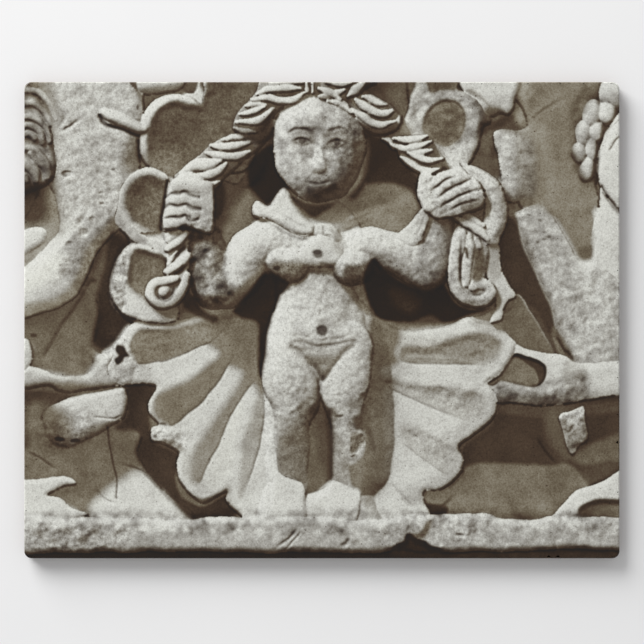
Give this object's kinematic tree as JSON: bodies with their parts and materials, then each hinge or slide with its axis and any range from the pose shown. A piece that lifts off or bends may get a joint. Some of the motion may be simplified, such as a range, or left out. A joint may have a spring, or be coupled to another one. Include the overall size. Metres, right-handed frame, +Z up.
{
  "type": "photo plaque",
  "caption": "Flat hardboard wall plaque, landscape, with small round corners, a gloss print of a stone relief on its front and a keyhole in its back.",
  "frame": {"origin": "middle of the back face, which lies flat on the wall", "axes": "+X to the right for someone who looks at the picture, +Y into the wall, +Z up"},
  "size_m": [0.254, 0.0063, 0.2032],
  "materials": {
    "hardboard": "matt, dense and fine",
    "print": "gloss coat over a printed picture"
  },
  "bodies": {
    "root": {"board": "hardboard"}
  },
  "joints": []
}
